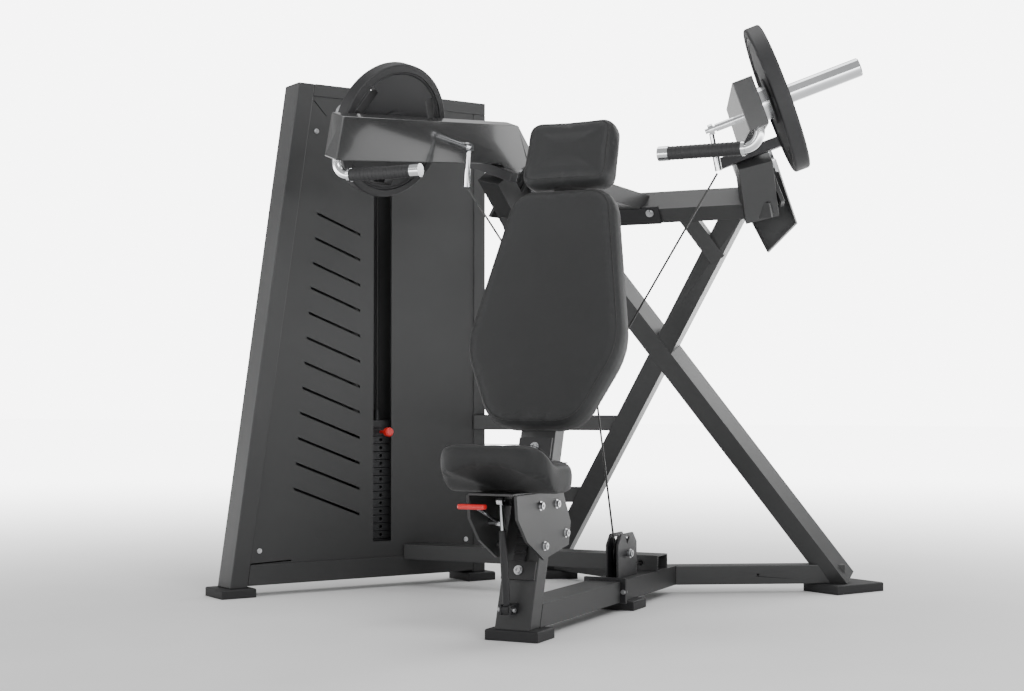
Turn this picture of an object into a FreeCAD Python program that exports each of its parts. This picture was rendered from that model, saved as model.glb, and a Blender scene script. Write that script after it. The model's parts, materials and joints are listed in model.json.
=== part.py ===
import FreeCAD, Part
import math
import os

Vec = FreeCAD.Vector

# Shoulder press machine. Millimetres, +Z up, floor at Z = 0.
# X = 0 is the plane of symmetry of the seat, and +Y points from the seat towards the rear feet.

# ---- driving dimensions -------------------------------------------------------------------
WALL = 3.0                 # wall of the rectangular steel tubes
PAD_H = 28.0               # height of the rubber floor pads
POST_LEAN = 18.0           # degrees that the seat post and both back pads lean from upright
POST_W, POST_D = 100.0, 60.0
RAIL_W, RAIL_H = 100.0, 60.0
RAIL_JOINT_Y = 632.0       # where the front and rear base rails bolt together
RAIL_END_Y = 1146.0
LEG_W, LEG_D = 64.0, 95.0
LEG_FOOT = Vec(510, 1400, PAD_H)
LEG_TOP = Vec(-285, 1000, 1190)
BEAM_LEAN = 36.0           # the upper beam is turned forward about its length
BEAM_T, BEAM_D = 50.0, 110.0
BEAM_HALF = 438.0
BEAM_EDGE = Vec(0, 864, 1149)

ARM_YAW, ARM_TILT = 17.0, 20.0      # degrees that the plane of each press arm is turned and tilted
ARM_ORIGIN = Vec(560, 84, 1401)     # upper inner corner of the right arm's free end
ARM_T = 52.0                        # arm box thickness
ARM_RISE, ARM_DROP = 5.1, 35.0      # slopes of the front and rear lengths of the arm
ARM_FRONT, ARM_W, ARM_REAR_W = 708.0, 127.0, 120.0
ARM_END_R = 48.0                    # the arm tapers to this radius at its pivot
PIVOT_L = 180.0                     # from the bend's centre to the pivot
SHAFT_R = 20.0
SLEEVE_R, SLEEVE_AT, SLEEVE_TIP = 25.0, (288.0, -30.0), 342.0
PLATE_R, PLATE_T, PLATE_AT = 200.0, 42.0, 90.0
GRIP_R, GRIP_Y, GRIP_Z = 17.5, 141.0, 1245.0
GRIP_IN, GRIP_OUT = 375.0, 568.0
STUD_AT = (439.0, -20.0)

TOWER_AZ = 31.4                     # degrees that the weight tower is turned from +Y
TOWER_CORNER = Vec(-1171, 374, 0)
TOWER_H, TOWER_DEPTH = 1628.0, 100.0
TOWER_END = 966.0
STACK_S, STACK_N = 580.0, -62.0     # centre of the weight stack, along and behind the tower's face
STACK_Z, STACK_PITCH, STACK_COUNT = 130.0, 26.0, 16
STACK_HALF, STACK_DEPTH = 95.0, 56.0
SLOT_S, SLOT_Z = (535.0, 602.0), (150.0, 1400.0)    # the tall slot that the selector pin travels in
LIFTED = 2                          # plates above the selector pin, the head plate among them
ROD_R, ROD_OFFSET = 10.0, 60.0
STEM_R = 7.0
PIN_R = 4.8

CABLE_R = 3.0
CABLE_Z = 112.0                     # height of the level runs of cable
CABLE_UP = 690.0                    # along the tower, where the cable climbs
BASE_PULLEY = (760.0, 45.0)         # its centre's Y and the cable's radius on it
TURN_R, TOE_R = 30.0, 27.0
CROWN_Z = 1500.0
ROD_TOP = 1424.0                    # the guide rods end in a cross plate below the crown pulley
YOKE = Vec(0, 551.6, 666)

BACK_FOOT = Vec(0, 95, 548)         # lower middle of the backrest's front face
BACK_T = 86.0                       # the pads wrap the post's front by a channel in their backs
SEAT_HALF, SEAT_FRONT, SEAT_REAR = 156.0, -160.0, 108.0

BODIES = {}


# ---- helpers ------------------------------------------------------------------------------
def unit(v):
    return Vec(v).normalize()


def turned(x, y, z, degrees):
    """The point after a turn about X."""
    a = math.radians(degrees)
    return Vec(x, y * math.cos(a) - z * math.sin(a), y * math.sin(a) + z * math.cos(a))


def prism(points, along):
    """A solid swept from a flat outline."""
    wire = Part.makePolygon([Vec(p) for p in points] + [Vec(points[0])])
    return Part.Face(wire).extrude(Vec(along))


def bar(p, q, width, depth, side):
    """A rectangular bar from p to q. side is the direction of its width."""
    along = Vec(q) - Vec(p)
    axis = unit(along)
    depth_dir = unit(axis.cross(side))
    width_dir = unit(depth_dir.cross(axis))
    corners = []
    for a, b in ((-1, -1), (1, -1), (1, 1), (-1, 1)):
        corners.append(Vec(p) + width_dir * (a * width / 2) + depth_dir * (b * depth / 2))
    return prism(corners, along)


def rod(p, q, r):
    along = Vec(q) - Vec(p)
    return Part.makeCylinder(r, along.Length, Vec(p), unit(along))


def ring(p, q, r, hole):
    a = unit(Vec(q) - Vec(p))
    return rod(p, q, r).cut(rod(Vec(p) - a, Vec(q) + a, hole))


def tube(p, q, width, depth, side, cutters=()):
    """A hollow bar, trimmed by its neighbours, with a drain hole in one wall."""
    outer = bar(p, q, width, depth, side)
    for other in cutters:
        outer = outer.cut(other)
    axis = unit(Vec(q) - Vec(p))
    inner = bar(Vec(p) + axis * WALL, Vec(q) - axis * WALL, width - 2 * WALL, depth - 2 * WALL, side)
    middle = (Vec(p) + Vec(q)) / 2
    drain = rod(middle, middle + unit(axis.cross(side)) * depth, 3.0)
    return biggest(outer.cut(inner).cut(drain))


def biggest(shape):
    return max(shape.Solids, key=lambda s: s.Volume)


def mirrored(shape):
    return shape.mirror(Vec(0, 0, 0), Vec(1, 0, 0))


def both(shape):
    return [shape, mirrored(shape)]


def bolt(at, axis, r=9.0, head=7.0):
    """A round-head bolt head with a domed edge and a socket, standing on a surface."""
    a = unit(axis)
    washer = rod(at, Vec(at) + a * 2, r * 1.35)
    crown = rod(Vec(at) + a * 2, Vec(at) + a * (2 + head), r)
    socket = rod(Vec(at) + a * (head - 1), Vec(at) + a * (head + 3), r * 0.45)
    return washer.fuse(crown).cut(socket)


def save(name, shapes):
    """Write one node. Loose pieces of a node stay separate solids."""
    if not isinstance(shapes, (list, tuple)):
        shapes = [shapes]
    solids = []
    for shape in shapes:
        solids.extend(shape.Solids)
    result = solids[0] if len(solids) == 1 else Part.makeCompound(solids)
    if not result.isValid():
        print("not valid:", name)
    result.exportStep(os.path.join("parts", name + ".step"))
    BODIES[name] = result


def path_tube(points_and_arcs, r):
    """A round tube swept along straight runs and arcs."""
    wire = Part.Wire([e.toShape() for e in points_and_arcs])
    start = wire.OrderedVertexes[0].Point
    first = wire.OrderedEdges[0]
    tangent = first.tangentAt(first.FirstParameter)
    profile = Part.Wire([Part.makeCircle(r, start, tangent)])
    return wire.makePipeShell([profile], True, True)


# ---- the frame of reference of one press arm ----------------------------------------------
def arm_axes():
    yaw, tilt = math.radians(ARM_YAW), math.radians(ARM_TILT)
    h = Vec(math.cos(tilt) * math.cos(yaw), math.cos(tilt) * math.sin(yaw), math.sin(tilt))
    e1 = Vec(-math.sin(yaw), math.cos(yaw), 0)
    return h, e1, h.cross(e1)


H, E1, E2 = arm_axes()


def on_arm(s, t, h=0.0):
    """A point of the right arm: s back along it, t up across it, h out of its inner face."""
    return ARM_ORIGIN + E1 * s + E2 * t + H * h


RISE, DROP = math.radians(ARM_RISE), math.radians(ARM_DROP)
BEND_TOP = (ARM_FRONT * math.cos(RISE), ARM_FRONT * math.sin(RISE))
BEND_SLOPE = (RISE - DROP) / 2
BEND_L = (ARM_W + ARM_REAR_W) / 2 / math.cos((RISE + DROP) / 2)
BEND_LOW = (BEND_TOP[0] + BEND_L * math.sin(BEND_SLOPE), BEND_TOP[1] - BEND_L * math.cos(BEND_SLOPE))
BEND_MID = ((BEND_TOP[0] + BEND_LOW[0]) / 2, (BEND_TOP[1] + BEND_LOW[1]) / 2)
PIVOT = (BEND_MID[0] + PIVOT_L * math.cos(DROP), BEND_MID[1] - PIVOT_L * math.sin(DROP))


# ---- base, post and X frame ---------------------------------------------------------------
def base_frame():
    lean = math.tan(math.radians(POST_LEAN))
    low = Vec(0, 24.5, PAD_H)
    high = Vec(0, 24.5 + (1310 - PAD_H) * lean, 1310)
    post_outer = bar(low - (high - low) * 0.03, high, POST_W, POST_D, Vec(1, 0, 0))
    floor_cut = Part.makeBox(400, 400, 200, Vec(-200, -200, PAD_H - 200))
    inner = bar(low - (high - low) * 0.04, high - unit(high - low) * WALL,
                POST_W - 2 * WALL, POST_D - 2 * WALL, Vec(1, 0, 0))
    post = biggest(post_outer.cut(inner).cut(floor_cut))
    save("seat_post", post)

    z = PAD_H + RAIL_H / 2
    front = tube(Vec(0, 30, z), Vec(0, RAIL_JOINT_Y - 6, z), RAIL_W, RAIL_H, Vec(1, 0, 0), [post_outer])
    save("base_rail_front", front)
    rear_solid = bar(Vec(0, RAIL_JOINT_Y + 6, z), Vec(0, RAIL_END_Y, z), RAIL_W, RAIL_H, Vec(1, 0, 0))
    rear = tube(Vec(0, RAIL_JOINT_Y + 6, z), Vec(0, RAIL_END_Y, z), RAIL_W, RAIL_H, Vec(1, 0, 0))
    save("base_rail_rear", rear)

    splay_foot = Vec(LEG_FOOT.x, LEG_FOOT.y, z)
    splay = tube(Vec(20, RAIL_END_Y - 28, z), splay_foot, RAIL_H, RAIL_H, Vec(0, 0, 1), [rear_solid])
    half = Part.makeBox(900, 900, 300, Vec(0, 900, 0))
    splay_right = biggest(splay.common(half))
    save("splay_rails", both(splay_right))

    splay_solid = bar(Vec(20, RAIL_END_Y - 28, z), splay_foot, RAIL_H, RAIL_H, Vec(0, 0, 1))
    side = Vec(1, 0, 0)
    right_foot_leg = bar(LEG_FOOT, LEG_TOP, LEG_W, LEG_D, side)
    floor_box = Part.makeBox(3000, 3000, 300, Vec(-1500, 0, PAD_H - 300))
    beam_solid = upper_beam_solid()
    first = tube(LEG_FOOT, LEG_TOP, LEG_W, LEG_D, side, [splay_solid, floor_box, beam_solid])
    save("x_leg_right", first)
    crossing = right_foot_leg
    mirror_foot = Vec(-LEG_FOOT.x, LEG_FOOT.y, LEG_FOOT.z)
    mirror_top = Vec(-LEG_TOP.x, LEG_TOP.y, LEG_TOP.z)
    outer = bar(mirror_foot, mirror_top, LEG_W, LEG_D, side)
    cut = outer.cut(crossing).cut(mirrored(splay_solid)).cut(floor_box).cut(beam_solid)
    axis = unit(mirror_top - mirror_foot)
    inner = bar(mirror_foot + axis * WALL, mirror_top - axis * WALL, LEG_W - 2 * WALL, LEG_D - 2 * WALL, side)
    pieces = sorted(cut.cut(inner).Solids, key=lambda s: -s.Volume)[:2]
    save("x_leg_left", pieces)
    return post_outer, beam_solid


def upper_beam_solid():
    corners = []
    for y, z in ((0, 0), (BEAM_D, 0), (BEAM_D, BEAM_T), (0, BEAM_T)):
        corners.append(BEAM_EDGE + turned(-BEAM_HALF, y, z, BEAM_LEAN))
    return prism(corners, Vec(2 * BEAM_HALF, 0, 0))


def upper_frame(post_outer, beam_solid):
    inner = []
    for y, z in ((WALL, WALL), (BEAM_D - WALL, WALL), (BEAM_D - WALL, BEAM_T - WALL), (WALL, BEAM_T - WALL)):
        inner.append(BEAM_EDGE + turned(WALL - BEAM_HALF, y, z, BEAM_LEAN))
    drain_at = BEAM_EDGE + turned(30, BEAM_D / 2, BEAM_T / 2, BEAM_LEAN)
    drain = rod(drain_at, drain_at + turned(0, 0, -BEAM_T, BEAM_LEAN), 4)
    beam = beam_solid.cut(prism(inner, Vec(2 * (BEAM_HALF - WALL), 0, 0))).cut(drain)
    save("upper_beam", biggest(beam))

    stop = bar(on_arm(662, -87, -76), on_arm(662, -87, 128), 30, 30, E2)
    foot, head = Vec(392, 893, 1166), on_arm(676, -106, 20)
    upright = tube(foot, head, 100, 62, H, [beam_solid, stop])
    save("uprights", both(upright))
    save("arm_stops", both(stop))

    leg_cut = bar(Vec(-LEG_FOOT.x, LEG_FOOT.y, LEG_FOOT.z), Vec(-LEG_TOP.x, LEG_TOP.y, LEG_TOP.z),
                  LEG_W, LEG_D, Vec(1, 0, 0))
    brace = tube(Vec(118, 928, 1222), Vec(222, 1020, 1050), 48, 48, Vec(0, 1, 0), [beam_solid, leg_cut])
    lean = math.tan(math.radians(POST_LEAN))
    tie_z = 1215.0
    tie_y = 24.5 + (tie_z - PAD_H) * lean
    tie = tube(Vec(0, tie_y, tie_z), Vec(0, 905, tie_z), 80, 50, Vec(1, 0, 0), [post_outer, beam_solid])
    save("brace_tubes", both(brace) + [tie])

    cheek_out = [(PIVOT[0] - 44, PIVOT[1] - 4), (PIVOT[0] - 34, PIVOT[1] + 30), (PIVOT[0], PIVOT[1] + 46),
                 (PIVOT[0] + 34, PIVOT[1] + 30), (PIVOT[0] + 46, PIVOT[1] - 4),
                 (PIVOT[0] + 50, PIVOT[1] - 140), (PIVOT[0] - 90, PIVOT[1] - 140)]
    cheeks = []
    upright_solid = bar(foot, head, 100, 62, H)
    for h0 in (-16.0, 56.0):
        plate = prism([on_arm(s, t, h0) for s, t in cheek_out], H * 12)
        plate = plate.cut(beam_solid).cut(upright_solid)
        plate = plate.cut(rod(on_arm(PIVOT[0], PIVOT[1], h0 - 5), on_arm(PIVOT[0], PIVOT[1], h0 + 20), SHAFT_R))
        cheeks.append(biggest(plate))
    save("pivot_cheeks", cheeks + [mirrored(c) for c in cheeks])
    return cheeks


def guard(beam_solid, cheeks):
    """A dished sheet steel guard behind each pivot, with a rolled rim, on a short bar from the beam."""
    outline = [(396, 1352), (463, 1150), (372, 1064), (322, 1160), (330, 1300)]
    y = 1052.0
    plate = prism([Vec(x, y, z) for x, z in outline], Vec(0, 3, 0))
    middle = Vec(sum(p[0] for p in outline) / 5, y, sum(p[1] for p in outline) / 5)
    inner = [middle + (Vec(x, y, z) - middle) * 0.955 for x, z in outline]
    outer = prism([Vec(x, y - 16, z) for x, z in outline], Vec(0, 16, 0))
    hollow = prism([Vec(p.x, y - 17, p.z) for p in inner], Vec(0, 18, 0))
    dish = plate.fuse(outer.cut(hollow))
    arm = bar(Vec(402, 925, 1222), Vec(402, y, 1222), 24, 24, Vec(1, 0, 0)).cut(beam_solid)
    for cheek in cheeks:
        arm = arm.cut(cheek)
    legs = bar(Vec(-LEG_FOOT.x, LEG_FOOT.y, LEG_FOOT.z), Vec(-LEG_TOP.x, LEG_TOP.y, LEG_TOP.z),
               LEG_W, LEG_D, Vec(1, 0, 0))
    dish = dish.cut(legs)
    return biggest(dish), biggest(arm.cut(legs))


def feet():
    pads = [Part.makeBox(150, 108, PAD_H, Vec(-75, -13, 0)), Part.makeBox(150, 105, PAD_H, Vec(-75, 665, 0))]
    pad = Part.makeBox(150, 210, PAD_H, Vec(-75, -105, 0))
    pad.rotate(Vec(0, 0, 0), Vec(0, 0, 1), -30)
    pad.translate(Vec(LEG_FOOT.x, LEG_FOOT.y + 10, 0))
    pads += both(pad)
    for s0, s1 in ((0, 115), (892, 998)):
        pads.append(prism([tower_at(s, n, 0) for s, n in ((s0, 16), (s1, 16), (s1, -116), (s0, -116))],
                          Vec(0, 0, PAD_H)))
    done = []
    for p in pads:
        rim = [e for e in p.Edges if min(v.Z for v in e.Vertexes) > PAD_H - 1 or len(e.Vertexes) < 2]
        try:
            p = p.makeFillet(5, rim)
        except Exception:
            print("foot pad kept square")
        done.append(p)
    save("floor_feet", done)


# ---- weight tower -------------------------------------------------------------------------
def tower_dirs():
    a = math.radians(TOWER_AZ)
    return Vec(math.sin(a), math.cos(a), 0), Vec(math.cos(a), -math.sin(a), 0)


T_ALONG, T_OUT = tower_dirs()


def tower_at(s, n, z):
    """A point of the tower: s along its face, n out of the face, z up."""
    return TOWER_CORNER + T_ALONG * s + T_OUT * n + Vec(0, 0, z)


def tower_prism(outline, n0, n1):
    return prism([tower_at(s, n0, z) for s, z in outline], T_OUT * (n1 - n0))


def tower_box(s0, s1, n0, n1, z0, z1):
    return tower_prism([(s0, z0), (s1, z0), (s1, z1), (s0, z1)], n0, n1)


LEG_S = (34.0, 92.0, 318.0, 260.0)   # the sloping leg: front and back at the bottom, back and front on top
RAIL_TOP = 98.0
HEAD_Z = 1588.0


def leg_back(z):
    """Where the sloping leg's back edge is at a height."""
    return LEG_S[1] + (LEG_S[2] - LEG_S[1]) * (z - PAD_H) / (TOWER_H - PAD_H)


def tower():
    d = TOWER_DEPTH
    front_leg = tower_prism([(LEG_S[0], PAD_H), (LEG_S[1], PAD_H), (LEG_S[2], TOWER_H), (LEG_S[3], TOWER_H)], -d, 0)
    hollow = tower_prism([(LEG_S[0] + 5, PAD_H - 1), (LEG_S[1] - 5, PAD_H - 1),
                          (LEG_S[2] - 5, TOWER_H - WALL), (LEG_S[3] + 5, TOWER_H - WALL)], -d + WALL, -WALL)
    save("tower_front_leg", biggest(front_leg.cut(hollow)))
    rear_leg = tower_box(920, TOWER_END, -d, 0, PAD_H, HEAD_Z)
    hollow = tower_box(920 + WALL, TOWER_END - WALL, -d + WALL, -WALL, PAD_H - 1, HEAD_Z - WALL)
    save("tower_rear_leg", biggest(rear_leg.cut(hollow)))
    s0 = leg_back(HEAD_Z)
    top = tower_prism([(s0, HEAD_Z), (TOWER_END, HEAD_Z), (TOWER_END, TOWER_H), (LEG_S[2], TOWER_H)], -d, 0)
    hollow = tower_box(s0 + 10, TOWER_END - WALL, -d + WALL, -WALL, HEAD_Z + WALL, TOWER_H - WALL)
    drain = rod(tower_at(700, -d / 2, HEAD_Z - 5), tower_at(700, -d / 2, HEAD_Z + 20), 4)
    top = top.cut(hollow).cut(drain)
    bottom = tower_prism([(leg_back(34), 34), (920, 34), (920, RAIL_TOP), (leg_back(RAIL_TOP), RAIL_TOP)], -d, 0)
    hollow = tower_box(leg_back(RAIL_TOP) + WALL, 920 - WALL, -d + WALL, -WALL, 34 + WALL, RAIL_TOP - WALL)
    drain = rod(tower_at(500, -d / 2, 30), tower_at(500, -d / 2, 60), 4)
    bottom = bottom.cut(hollow).cut(drain)
    save("tower_rails", [biggest(top), biggest(bottom)])

    outline = [(leg_back(RAIL_TOP), RAIL_TOP), (920, RAIL_TOP), (920, HEAD_Z), (leg_back(HEAD_Z), HEAD_Z)]
    panel = tower_prism(outline, -6, -4)
    slots = []
    count, first_z, pitch, right_s = 12, 1155.0, 82.7, 485.0
    fall = math.tan(math.radians(21.0))
    for i in range(count):
        z = first_z - i * pitch
        left_s = leg_back(z) + 78 + 4.5 * i
        run = right_s - left_s
        slots.append(tower_prism([(left_s, z + run * fall), (right_s, z), (right_s, z - 8.5),
                                  (left_s, z + run * fall - 8.5)], -8, -2))
    slots.append(tower_box(SLOT_S[0], SLOT_S[1], -8, -2, SLOT_Z[0], SLOT_Z[1]))
    slots.append(tower_prism([(314, 1574), (318, 1574), (362, 1528), (358, 1528)], -8, -2))
    slots.append(tower_prism([(98, 103), (98, 99), (243, 104), (243, 108)], -8, -2))
    entry = cable_line_entry()
    slots.append(rod(entry + Vec(60, 0, 0), entry - Vec(60, 0, 0), 9))
    for cutter in slots:
        panel = panel.cut(cutter)
    panel = biggest(panel)
    fields = [tower_box(0, SLOT_S[0], -8, 0, 0, TOWER_H), tower_box(SLOT_S[1], TOWER_END, -8, 0, 0, TOWER_H),
              tower_box(SLOT_S[0], SLOT_S[1], -8, 0, 0, SLOT_Z[0]),
              tower_box(SLOT_S[0], SLOT_S[1], -8, 0, SLOT_Z[1], TOWER_H)]
    save("tower_panel", [biggest(panel.common(field)) for field in fields])
    save("tower_back_panel", tower_prism(outline, -96, -94))


def cable_line_entry():
    """Where the level cable crosses the tower's face."""
    up = tower_at(CABLE_UP, STACK_N, CABLE_Z)
    reach = -STACK_N / T_OUT.x
    return Vec(up.x + reach, up.y, CABLE_Z)


def weight_stack():
    n0, n1 = STACK_N - STACK_DEPTH / 2, STACK_N + STACK_DEPTH / 2
    rods = []
    for side in (-1, 1):
        s = STACK_S + side * ROD_OFFSET
        rods.append(rod(tower_at(s, STACK_N, RAIL_TOP), tower_at(s, STACK_N, ROD_TOP), ROD_R))
    bumpers = []
    for side in (-1, 1):
        s = STACK_S + side * ROD_OFFSET
        bumpers.append(ring(tower_at(s, STACK_N, RAIL_TOP), tower_at(s, STACK_N, STACK_Z), 22, ROD_R + 0.5))
    save("guide_rods", rods)
    resting, lifted = [], []
    for i in range(STACK_COUNT):
        z = STACK_Z + i * STACK_PITCH
        plate = tower_box(STACK_S - STACK_HALF, STACK_S + STACK_HALF, n0, n1, z, z + STACK_PITCH - 1.5)
        for side in (-1, 1):
            s = STACK_S + side * ROD_OFFSET
            plate = plate.cut(rod(tower_at(s, STACK_N, z - 5), tower_at(s, STACK_N, z + 40), ROD_R + 0.6))
        pin_z = z + STACK_PITCH / 2
        if i < STACK_COUNT - 1:
            plate = plate.cut(rod(tower_at(STACK_S, STACK_N, z - 5), tower_at(STACK_S, STACK_N, z + 40), STEM_R + 0.6))
            plate = plate.cut(rod(tower_at(STACK_S, n1 + 5, pin_z), tower_at(STACK_S, STACK_N, pin_z), PIN_R + 0.4))
        if i < STACK_COUNT - LIFTED:
            resting.append(plate)
        else:
            lifted.append(plate)
    save("resting_plates", resting + bumpers)
    top_z = STACK_Z + STACK_COUNT * STACK_PITCH - 1.5
    pin_z = STACK_Z + (STACK_COUNT - LIFTED + 0.5) * STACK_PITCH
    stem = rod(tower_at(STACK_S, STACK_N, STACK_Z + 5), tower_at(STACK_S, STACK_N, top_z), STEM_R)
    for i in range(STACK_COUNT - 1):
        z = STACK_Z + (i + 0.5) * STACK_PITCH
        stem = stem.cut(rod(tower_at(STACK_S, STACK_N + 20, z), tower_at(STACK_S, STACK_N - 20, z), PIN_R + 0.4))
    eye = rod(tower_at(STACK_S, STACK_N, top_z), tower_at(STACK_S, STACK_N, top_z + 34), 10)
    head = lifted[-1].fuse(stem).fuse(eye)
    save("lifting_plates", lifted[:-1] + [head])
    shaft = rod(tower_at(STACK_S, 12, pin_z), tower_at(STACK_S, STACK_N - 4, pin_z), PIN_R)
    knob = rod(tower_at(STACK_S, 4, pin_z), tower_at(STACK_S, 28, pin_z), 15)
    knob = knob.makeFillet(6, [e for e in knob.Edges if len(e.Vertexes) == 1])
    save("selector_pin", knob.fuse(shaft))
    return top_z + 34


# ---- pulleys and cables -------------------------------------------------------------------
def pulley(centre, axis, cable_radius, width=14.0):
    """A grooved wheel with a bore."""
    a = unit(axis)
    rim = cable_radius + 5
    c = Vec(centre)
    wheel = rod(c - a * (width / 2), c + a * (width / 2), rim)
    root = cable_radius - CABLE_R - 0.4
    groove = ring(c - a * 4, c + a * 4, rim + 2, root)
    bore = rod(c - a * width, c + a * width, 8.05)
    wheel = wheel.cut(groove).cut(bore)
    if cable_radius > 40:
        for i in range(5):
            turn = FreeCAD.Rotation(a, i * 72)
            spoke = unit(a.cross(Vec(0.3, 0.5, 0.8)))
            at = c + turn.multVec(spoke) * (cable_radius * 0.55)
            wheel = wheel.cut(rod(at - a * width, at + a * width, cable_radius * 0.2))
    return wheel


def tangent_from(point, centre, radius, side):
    """In the plane X = 0: where a line from a point touches a circle."""
    dy, dz = point.y - centre.y, point.z - centre.z
    dist = math.hypot(dy, dz)
    base = math.atan2(dz, dy)
    spread = math.acos(radius / dist) * side
    return Vec(0, centre.y + radius * math.cos(base + spread), centre.z + radius * math.sin(base + spread))


def cables():
    base = Vec(0, BASE_PULLEY[0], CABLE_Z + BASE_PULLEY[1])
    touch = tangent_from(YOKE, base, BASE_PULLEY[1], 1)
    drop_axis = unit(YOKE - touch)
    save("drop_cable", rod(touch, YOKE - drop_axis * 22, CABLE_R))

    up = tower_at(CABLE_UP, STACK_N, 0)
    turn = Vec(-TURN_R, up.y - TURN_R, CABLE_Z)
    toe = Vec(up.x + TOE_R, up.y, CABLE_Z + TOE_R)
    crown_r = (CABLE_UP - STACK_S) / 2
    crown = tower_at((CABLE_UP + STACK_S) / 2, STACK_N, CROWN_Z)

    start_angle = math.atan2(touch.z - base.z, touch.y - base.y)
    if start_angle < 0:
        start_angle += 2 * math.pi
    mid = (start_angle + 1.5 * math.pi) / 2
    r = BASE_PULLEY[1]
    mid_point = Vec(0, base.y + r * math.cos(mid), base.z + r * math.sin(mid))
    low = Vec(0, base.y, base.z - r)
    k = math.sqrt(0.5)
    a1 = Vec(0, turn.y, CABLE_Z)
    a2 = Vec(-TURN_R, turn.y + TURN_R, CABLE_Z)
    b1 = Vec(toe.x, toe.y, CABLE_Z)
    b2 = Vec(up.x, up.y, toe.z)
    c1 = Vec(up.x, up.y, CROWN_Z)
    c2 = tower_at(STACK_S, STACK_N, CROWN_Z)
    route = [
        Part.Arc(touch, mid_point, low),
        Part.LineSegment(low, a1),
        Part.Arc(a1, turn + Vec(TURN_R * k, TURN_R * k, 0), a2),
        Part.LineSegment(a2, b1),
        Part.Arc(b1, toe + Vec(-TOE_R * k, 0, -TOE_R * k), b2),
        Part.LineSegment(b2, c1),
        Part.Arc(c1, crown + Vec(0, 0, crown_r), c2),
    ]
    run = path_tube(route, CABLE_R)
    length = sum(e.toShape().Length for e in route)
    print("base cable length", round(length), "volume ratio",
          round(run.Volume / (math.pi * CABLE_R ** 2 * length), 4))
    save("base_cable", run)
    save("base_pulley", pulley(base, Vec(1, 0, 0), BASE_PULLEY[1]))
    save("turn_pulley", pulley(turn, Vec(0, 0, 1), TURN_R))
    save("toe_pulley", pulley(toe, Vec(0, 1, 0), TOE_R))
    save("crown_pulley", pulley(crown, T_OUT, crown_r))
    print("pulley centres", base, turn, toe, crown, "touch", touch, "drop axis", drop_axis)
    return base, turn, toe, crown


def pulley_supports(base, turn, toe, crown):
    outline = [(684, 88), (684, 186), (714, 217), (806, 217), (838, 186), (838, 88)]
    plates = []
    for x in (14.0, -20.0):
        plate = prism([Vec(x, y, z) for y, z in outline], Vec(6, 0, 0))
        plate = plate.cut(prism([Vec(x - 1, 742, 206), Vec(x - 1, 776, 206), Vec(x - 1, 759, 184)], Vec(8, 0, 0)))
        plate = plate.cut(rod(Vec(x - 5, base.y, base.z), Vec(x + 12, base.y, base.z), 8))
        plates.append(plate)
    web = Part.makeBox(28, 6, 60, Vec(-14, 832, 134))
    save("pulley_bracket", plates + [web])

    y0, y1 = turn.y - 40, turn.y + 46
    left = []
    for y in (y0, y1):
        s = (y - TOWER_CORNER.y) / T_ALONG.y
        left.append(TOWER_CORNER.x + s * T_ALONG.x + 1.0)
    z0, z1 = 88.0, 136.0
    duct = prism([Vec(55, y0, z0), Vec(55, y1, z0), Vec(left[1], y1, z0), Vec(left[0], y0, z0)], Vec(0, 0, z1 - z0))
    w = WALL
    hollow = prism([Vec(56, y0 + w, z0 + w), Vec(56, y1 - w, z0 + w), Vec(left[1] - 9, y1 - w, z0 + w),
                    Vec(left[0] - 9, y0 + w, z0 + w)], Vec(0, 0, z1 - z0 - 2 * w))
    duct = duct.cut(hollow).cut(rod(Vec(0, y0 - 5, CABLE_Z), Vec(0, y0 + 10, CABLE_Z), 8))
    duct = duct.cut(tower_box(0, TOWER_END, -100, 0.2, 0, RAIL_TOP + 60))
    save("lower_link", biggest(duct))

    hangers = []
    for n in (STACK_N - 26, STACK_N + 18):
        hangers.append(tower_box(CABLE_UP - 80, CABLE_UP - 30, n, n + 6, CROWN_Z - 22, HEAD_Z))
    cross = tower_box(506, 736, STACK_N - 16, STACK_N + 16, ROD_TOP, ROD_TOP + 8)
    for s in (STACK_S, CABLE_UP):
        cross = cross.cut(rod(tower_at(s, STACK_N, ROD_TOP - 5), tower_at(s, STACK_N, ROD_TOP + 20), 6))
    hangers.append(cross)
    for s in (506, 724):
        hangers.append(tower_box(s, s + 12, STACK_N - 12, STACK_N + 12, ROD_TOP + 8, HEAD_Z))
    for dy in (-16, 10):
        hangers.append(Part.makeBox(44, 6, toe.z + 14 - RAIL_TOP, Vec(toe.x - 22, toe.y + dy, RAIL_TOP)))
    crown_axle = rod(crown - T_OUT * 32, crown + T_OUT * 30, 8)
    toe_axle = rod(toe - Vec(0, 16, 0), toe + Vec(0, 16, 0), 8)
    hangers = [hanger.cut(crown_axle).cut(toe_axle) for hanger in hangers]

    axles = [rod(Vec(-28, base.y, base.z), Vec(28, base.y, base.z), 8),
             rod(Vec(turn.x, turn.y, z0 + w), Vec(turn.x, turn.y, z1 - w), 8),
             toe_axle, crown_axle]
    shaft = rod(on_arm(PIVOT[0], PIVOT[1], -30), on_arm(PIVOT[0], PIVOT[1], 82), SHAFT_R)
    for h0 in (-34, -26, 68, 78):
        thick, r = (8, 44) if h0 in (-34, 78) else (10, 30)
        shaft = shaft.fuse(rod(on_arm(PIVOT[0], PIVOT[1], h0), on_arm(PIVOT[0], PIVOT[1], h0 + thick), r))
    save("fixed_axles", axles + both(shaft))
    return hangers


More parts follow.
